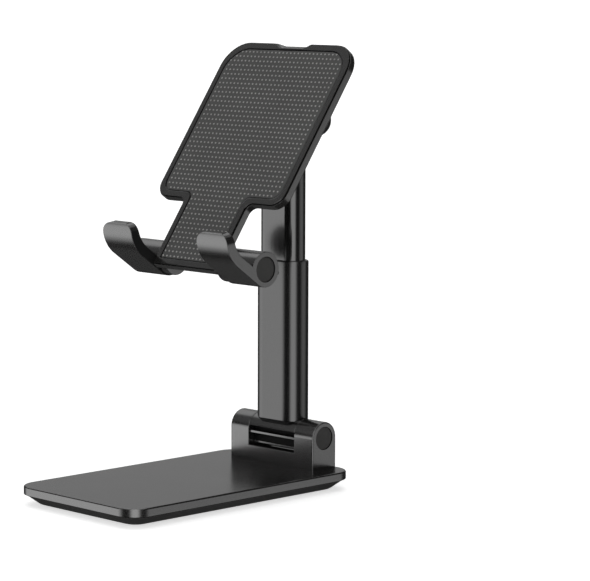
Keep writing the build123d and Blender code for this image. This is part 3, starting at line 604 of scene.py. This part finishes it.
ends = dome(TILT_R + 0.02, (0, 12, 24, 36, 48, 60, 72, 82, 88))
capsule = lathe([(-x, r) for x, r in reversed(ends)] + ends, HOOK_SIDE, HINGE_CENTRE)
WAY_W, WAY_LONG, WAY_R, WAY_BACK = 24.6, 40, 1.2, -16
way_in = stack(box_corners(WAY_W, WAY_LONG, WAY_R, (0, HINGE_U - WAY_LONG / 2)),
               [(WAY_BACK, 0), (BACK_N - 0.3, 0)], PLATE)
flat_at = degrees(acos(SEAM_N / KNUCKLE_R))
knuckle_line = arc((0, 0), KNUCKLE_R, flat_at, 360 - flat_at, 60)
steps = [("UNION", stack(house, house_levels, PLATE, 14)),
         ("DIFFERENCE", rod(TILT_R + 0.3, -BARREL_X - 0.25, BARREL_X + 0.25, HOOK_SIDE, HINGE_CENTRE)),
         ("DIFFERENCE", capsule), ("DIFFERENCE", way_in)]
steps += [("UNION", slab(knuckle_line, rounding(a, b, 0.3, 0.3, 4), HOOK_SIDE))
          for a, b in ((KNUCKLE_X0, KNUCKLE_X1), (-KNUCKLE_X1, -KNUCKLE_X0))]
SCREW_X, SCREW_LOW, SCREW_HIGH, SCREW_SINK_R = 30, 36, 93, 2.1
for x, u in ((-SCREW_X, SCREW_LOW), (SCREW_X, SCREW_LOW), (-SCREW_X, SCREW_HIGH), (SCREW_X, SCREW_HIGH)):
    steps.append(("DIFFERENCE", rod(SCREW_SINK_R, BACK_N - 1, BACK_N + 1.0, PLATE, (x, u), 32)))
piece("plate_back", combine(tee_stack(rear), steps), SHELL, "plate", ["plate_cover"])

# round ends of the tilt hinge
for side, name in ((-1, "left"), (1, "right")):
    rim = [(BARREL_X + out, TILT_R - inset) for out, inset in ((0.22, 0.6), (0.22, 0.25), (0.3, 0.05), (0.45, 0))]
    bulb = lathe([(side * x, r) for x, r in rim + dome(TILT_R, (0, 10, 20, 30, 40, 50, 60, 70, 80, 87))],
                 HOOK_SIDE, HINGE_CENTRE)
    piece(f"tilt_end_{name}", bulb, SHELL, "plate", [f"tilt_cap_{name}"])

# head of the mast, in the plate's housing
head_barrel = slab(circle(TILT_R, 60), rounding(-BARREL_X, BARREL_X, 0.3, 0.3, 4), TOP_SIDE)
neck_place = Place((0, HINGE_Y, TOP_Z), (1, 0, 0), (0, 1, 0), (0, 0, 1))
neck = stack(box_corners(INNER_W, INNER_D, INNER_R), [(-HEAD_LOW + 0.2, 0.15), (-HEAD_LOW + 0.35, 0), (-3, 0)],
             neck_place, 12)
plug = stack(box_corners(INNER_W - SPIGOT_GAP, INNER_D - SPIGOT_GAP, INNER_R - 1.1),
             [(-HEAD_LOW - 9, 0), (-4, 0)], neck_place, 12)
rear_slot = slot_cutter(TOP_Z - 1.5, -9, -5.4)
bore = rod(SHAFT_R + 0.05, -BARREL_X - 1, BARREL_X + 1, TOP_SIDE, steps=32)
head = combine(head_barrel, [("UNION", neck), ("UNION", plug), ("DIFFERENCE", rear_slot), ("DIFFERENCE", bore)])
piece("mast_head", head, SHELL, "upper_mast", ["upper_joint"])

# latches of the guide, seen in the slots at the top of the outer tube
for side, name in ((-1, "front"), (1, "rear")):
    seat = (0, HINGE_Y + side * (TUBE_D / 2 - 0.3), SLOT_Z + LATCH_RISE)
    mouth = Place(seat, (1, 0, 0), (0, 0, 1), (0, side, 0))
    latch = stack(box_corners(SLOT_LONG - 0.2, LATCH_TALL, LATCH_TALL / 2 - 0.01),
                  rounding(-0.25, 0.3, 0, 0.3, 5, 0.1), mouth, 8)
    piece(f"guide_latch_{name}", latch, SHELL, "lower_mast", [])

# ---- hooks ----
FLOOR_U, FLOOR_END, RISE_R, RISE = -2.6, 13.0, 11.5, 48
SOLE_END, SWEEP_R, SWEEP = 13.5, 14.0, 62
TIP_ROUND, LIP_START, LIP_OUT_RUN, LIP_IN_RUN, LIP_ROWS = 0.4, 13.0, 0.05, 2.5, 26


def rise_at(x):
    """Height of the arm's floor at x, where it curves up into the lip."""
    return FLOOR_U + RISE_R - sqrt(RISE_R**2 - max(x - FLOOR_END, 0)**2)


def along(points, count):
    """Points evenly spaced by length along a line, both ends included."""
    lengths = [0.0]
    for a, b in zip(points, points[1:]):
        lengths.append(lengths[-1] + (b - a).length)
    out = []
    for k in range(count):
        want, i = lengths[-1] * k / (count - 1), 0
        while i < len(points) - 2 and lengths[i + 1] < want:
            i += 1
        span = lengths[i + 1] - lengths[i]
        out.append(points[i] + (points[i + 1] - points[i]) * ((want - lengths[i]) / span if span else 0))
    return out


def hook_lines():
    """Outer and inner faces of the lip, from where it leaves the arm to the middle of its tip."""
    out_end = arc((SOLE_END, SWEEP_R - HOOK_R), SWEEP_R, -90, -90 + SWEEP, 14)
    heading = Vector((cos(radians(SWEEP)), sin(radians(SWEEP))))
    tip_out = out_end[-1] + heading * LIP_OUT_RUN
    in_end = arc((FLOOR_END, RISE_R + FLOOR_U), RISE_R, -90, -90 + RISE, 14)
    heading_in = Vector((cos(radians(RISE)), sin(radians(RISE))))
    tip_in = in_end[-1] + heading_in * LIP_IN_RUN
    across = (tip_in - tip_out).normalized()
    middle = (tip_in + tip_out) / 2
    outside = [Vector((LIP_START, -HOOK_R))] + out_end
    inside = [Vector((LIP_START, rise_at(LIP_START)))]
    inside += [p for p in in_end if p.x > LIP_START + 0.1]
    lines = []
    for body, tip, way, head in ((outside, tip_out, across, heading), (inside, tip_in, -across, heading_in)):
        a, b = tip - head * TIP_ROUND, tip + way * TIP_ROUND
        curve = [a * (1 - t)**2 + tip * (2 * t * (1 - t)) + b * t**2 for t in [k / 6 for k in range(7)]]
        if (body[-1] - a).length < 0.3 or (a - body[-1]).dot(head) < 0:
            body = [p for p in body if (p - tip).length > TIP_ROUND + 0.25]
        lines.append(along(body + curve + [middle], LIP_ROWS + 1))
    return lines


LIP_OUT, LIP_IN = hook_lines()
HALF_W = (HOOK_X1 - HOOK_X0) / 2
HOOK_EDGE, CAP_SINK, CAP_GAP = 0.22, 2.4, 0.08


def lip_half(p):
    """Half the hook's width at a point: full along the arm, and rounded off at the lip's top corners."""
    over = LIP_R - (LIP_OUT[-1] - p).dot(Vector((cos(radians(LIP_LEAN)), sin(radians(LIP_LEAN)))))
    if p.x < LIP_START or over <= 0:
        return HALF_W
    return HALF_W - LIP_R + sqrt(max(LIP_R**2 - min(over, LIP_R * 0.995)**2, 0))


def side_lattice(bm, ring, inner_line, line, first, sign, centre):
    """Closes one side of the hook: rows of faces across the lip, and one face over the arm."""
    last = first + 2 * LIP_ROWS
    rows = []
    for k in range(LIP_ROWS):
        i, j = first + k, last - k
        row = [ring[i]]
        for t in (0.2, 0.4, 0.6, 0.8):
            p = inner_line[i] + (inner_line[j] - inner_line[i]) * t
            raw = line[i] + (line[j] - line[i]) * t
            row.append(bm.verts.new(HOOK_SIDE.at(p.x, p.y, centre + sign * lip_half(raw))))
        rows.append(row + [ring[j]])
    for low_row, high_row in zip(rows, rows[1:]):
        for k in range(len(low_row) - 1):
            bm.faces.new((low_row[k], low_row[k + 1], high_row[k + 1], high_row[k]))
    for k in range(len(rows[-1]) - 1):
        bm.faces.new((rows[-1][k], rows[-1][k + 1], ring[first + LIP_ROWS]))
    bm.faces.new(list(ring[:first]) + rows[0] + list(ring[last + 1:]))


def hook_form(side):
    """A whole hook: its outline swept across its width, with eased edges, a cap's recess and a pin hole."""
    centre = side * (HOOK_X0 + HOOK_X1) / 2
    meet = degrees(atan2(FLOOR_U, sqrt(HOOK_R**2 - FLOOR_U**2)))
    sole = [Vector((LIP_START * k / 8, -HOOK_R)) for k in range(1, 8)]
    first = len(sole)
    bend = [LIP_IN[0].x + (FLOOR_END - LIP_IN[0].x) * k / 3 for k in (1, 2)]
    floor_run = [Vector((x, rise_at(x))) for x in bend + [FLOOR_END, 11.0, 9.0, 7.5]]
    line = sole + LIP_OUT + LIP_IN[-2::-1] + floor_run + arc((0, 0), HOOK_R, meet, 270, 56)
    widths = [lip_half(p) if first <= i <= first + 2 * LIP_ROWS else HALF_W for i, p in enumerate(line)]
    turns = [pi / 2 * k / 5 for k in range(6)]
    stations = [(-1 + HOOK_EDGE * (1 - cos(t)) / HALF_W, HOOK_EDGE * (1 - sin(t))) for t in turns]
    stations += [(s, 0.0) for s in (-0.6, -0.2, 0.2, 0.6)] + [(-s, i) for s, i in reversed(stations)]
    bm = bmesh.new()
    made = skin(bm, [[HOOK_SIDE.at(p.x, p.y, centre + s * w) for p, w in zip(moved(line, inset), widths)]
                     for s, inset in stations], start=False, end=False)
    inner_line = moved(line, HOOK_EDGE)
    for ring, sign in ((made[0], -1), (made[-1], 1)):
        side_lattice(bm, ring, inner_line, line, first, sign, centre)
    outer = side * HOOK_X1
    recess = (outer - CAP_SINK, outer + 1) if side > 0 else (outer - 1, outer + CAP_SINK)
    return combine(bm, [("DIFFERENCE", rod(HOOK_CAP_R, *recess, HOOK_SIDE)),
                        ("DIFFERENCE", rod(PIN_R + 0.05, centre - 12, centre + 12, HOOK_SIDE, steps=32))])


def disc(radius, outer, inner, place):
    """A cap: a shallow dished disc with a rounded rim, its shown face at outer."""
    way = 1 if outer > inner else -1
    levels = [(inner, 0.0), (outer - way * 0.25, 0.0), (outer - way * 0.07, 0.08), (outer, 0.25), (outer, 0.5),
              (outer - way * 0.06, radius * 0.5), (outer - way * 0.08, radius * 0.8)]
    return slab(circle(radius, 60), levels, place)


# the rubber grip on a hook's arm, flush in the floor
GRIP_OUT, GRIP_SIDE, GRIP_LONG, GRIP_CORNER, GRIP_SINK, GRIP_STAND = 10.2, 2.3, 5.4, 0.9, 0.4, 0.12
for side, name in ((-1, "left"), (1, "right")):
    form = hook_form(side)
    hook = piece(f"{name}_hook_shell", form, SHELL, f"{name}_hook", [f"{name}_hook"])
    # the side that faces the tongue gets the same darker, less reflective finish: painted shade on that inner face
    hook.data.materials.append(PAINTED_SHADE)
    for face in hook.data.polygons:
        if face.normal.x * side < -0.9 and abs(abs(face.center.x) * 1000 - HOOK_X0) < 0.3:
            face.material_index = 1
    hook_disc = disc(HOOK_CAP_R - CAP_GAP, side * (HOOK_X1 - CAP_INSET), side * (HOOK_X1 - 2.0), HOOK_SIDE)
    piece(f"{name}_hook_disc", hook_disc, LOOK["dark_cap"], f"{name}_hook", [f"{name}_hook_cap"])
    base_disc = disc(CAP_R - CAP_GAP, side * (EAR_X - CAP_INSET + 0.05), side * (EAR_X - 1.6), BASE_SIDE)
    piece(f"base_{name}_disc", base_disc, LOOK["dark_cap"], "base", [f"base_hinge_cap_{name}"])
    middle = Vector((side * (HOOK_X0 + HOOK_X1) / 2, 0, 0))
    seat = HOOK_AXIS + PLATE_OUT * GRIP_OUT + PLATE_UP * FLOOR_U + middle
    arm = Place(seat, (1, 0, 0), PLATE_OUT, PLATE_UP)
    grip = stack(box_corners(HOOK_X1 - HOOK_X0 - 2 * GRIP_SIDE, GRIP_LONG, GRIP_CORNER),
                 rounding(-GRIP_SINK, GRIP_STAND, 0, GRIP_STAND, 3, 0.3), arm, 6)
    piece(f"{name}_hook_grip", grip, LOOK["dark_silicone"], f"{name}_hook", [f"{name}_hook_pad"])

# ---- studio ----
# soft panels of light, in degrees: azimuth from, to and softness, height from and its softness,
# height to and its softness, then power
PANELS = [(-166, -118, 34, -30, 20, 3, 6, 2.0),
          (-63, -20, 22, -50, 6, 55, 6, 2.3),
          (22, 62, 24, -35, 10, 0, 10, 0.8),
          (-245, -205, 9, -10, 9, 22, 9, 0.47),
          (-260, 120, 12, 58, 12, 99, 12, 1.5),
          (-245, -172, 8, 26, 8, 58, 8, 1.0),
          (-200, -140, 8, 22, 8, 48, 8, 0.2),
          (-245, -172, 8, -62, 8, -34, 8, 0.09),
          (-134, -112, 8, 18, 8, 40, 8, 1.4)]
AMBIENT = 0.05
SPLIT = 110.0  # the azimuth at which the compass jumps from one end of its scale to the other
world = bpy.data.worlds.new("studio")
bpy.context.scene.world = world
world.use_nodes = True
tree = world.node_tree
tree.nodes.clear()


def math_node(operation, *values):
    """The output of a new math node, fed with numbers or with other outputs."""
    n = tree.nodes.new("ShaderNodeMath")
    n.operation = operation
    for socket, value in zip(n.inputs, values):
        if isinstance(value, (int, float)):
            socket.default_value = value
        else:
            tree.links.new(value, socket)
    return n.outputs[0]


def ramp(value, low, high, start, end):
    """A smooth change from start to end as value goes from low to high."""
    n = tree.nodes.new("ShaderNodeMapRange")
    n.interpolation_type = "SMOOTHSTEP"
    for key, number in (("From Min", low), ("From Max", high), ("To Min", start), ("To Max", end)):
        n.inputs[key].default_value = number
    tree.links.new(value, n.inputs["Value"])
    return n.outputs["Result"]


turned = tree.nodes.new("ShaderNodeVectorRotate")
turned.rotation_type = "Z_AXIS"
turned.inputs["Angle"].default_value = radians(180 - SPLIT)
tree.links.new(tree.nodes.new("ShaderNodeTexCoord").outputs["Generated"], turned.inputs["Vector"])
parts = tree.nodes.new("ShaderNodeSeparateXYZ")
tree.links.new(turned.outputs[0], parts.inputs[0])
compass = math_node("DEGREES", math_node("ARCTAN2", parts.outputs["Y"], parts.outputs["X"]))
height = math_node("DEGREES", math_node("ARCSINE", parts.outputs["Z"]))
total = AMBIENT
for az_low, az_high, az_soft, up_low, low_soft, up_high, high_soft, power in PANELS:
    light = None
    az_low, az_high = az_low + 180 - SPLIT, az_high + 180 - SPLIT
    for value, low, soft_in, high, soft_out in ((compass, az_low, az_soft, az_high, az_soft),
                                                (height, up_low, low_soft, up_high, high_soft)):
        rise = ramp(value, low - soft_in / 2, low + soft_in / 2, 0, 1)
        fall = ramp(value, high - soft_out / 2, high + soft_out / 2, 1, 0)
        window = math_node("MULTIPLY", rise, fall)
        light = window if light is None else math_node("MULTIPLY", light, window)
    total = math_node("ADD", math_node("MULTIPLY", light, power), total)
studio = tree.nodes.new("ShaderNodeBackground")
tree.links.new(total, studio.inputs["Strength"])
out = tree.nodes.new("ShaderNodeOutputWorld")
tree.links.new(studio.outputs[0], out.inputs["Surface"])

FLOOR_HALF = 40.0
bm = bmesh.new()
bmesh.ops.create_grid(bm, x_segments=4, y_segments=4, size=FLOOR_HALF)
mesh = bpy.data.meshes.new("floor")
bm.to_mesh(mesh)
bm.free()
floor = bpy.data.objects.new("floor", mesh)
floor.location.z = -0.0001
bpy.context.scene.collection.objects.link(floor)
pale = bpy.data.materials.new("pale_floor")
pale.use_nodes = True
pale_shader = pale.node_tree.nodes["Principled BSDF"]
pale_shader.inputs["Base Color"].default_value = (0.85, 0.85, 0.85, 1)
pale_shader.inputs["Roughness"].default_value = 0.9
pale_shader.inputs["Emission Color"].default_value = (1, 1, 1, 1)
pale_shader.inputs["Emission Strength"].default_value = 0.62
mesh.materials.append(pale)
floor.visible_glossy = False
floor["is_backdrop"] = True

low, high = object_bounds()
{"cad": [list(cad_low), list(cad_high)], "visual": [list(low), list(high)]}
